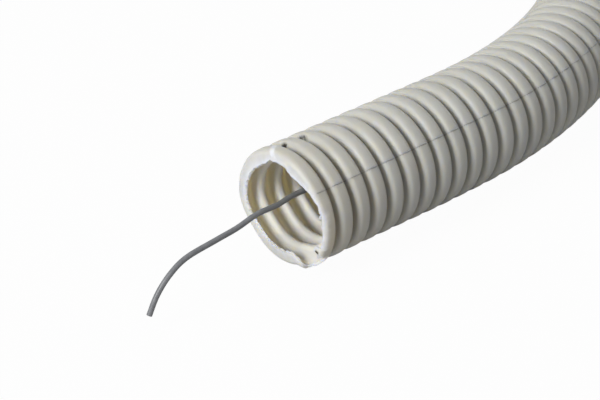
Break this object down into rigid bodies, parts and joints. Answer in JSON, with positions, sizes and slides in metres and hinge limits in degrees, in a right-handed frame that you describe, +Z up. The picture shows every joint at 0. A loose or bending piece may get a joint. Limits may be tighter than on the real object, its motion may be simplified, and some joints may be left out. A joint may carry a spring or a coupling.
{
  "type": "corrugated conduit",
  "caption": "Cut length of flexible corrugated plastic conduit with one soft bend and a draw wire standing out of its mouth.",
  "frame": {"origin": "on the conduit's axis, in the middle of the first crest behind the front mouth", "axes": "+X along the long straight stretch, towards the rear mouth; +Z up from the floor that the conduit lies on; the front mouth faces towards -X and +Y"},
  "size_m": [1.0106, 0.1101, 0.025],
  "materials": {
    "conduit_plastic": "matt moulded plastic with a faint sheen on the shoulders of the waves",
    "wire_coating": "satin grey coating over spring steel wire"
  },
  "bodies": {
    "root": {"conduit": "conduit_plastic", "draw_wire": "wire_coating"}
  },
  "joints": []
}
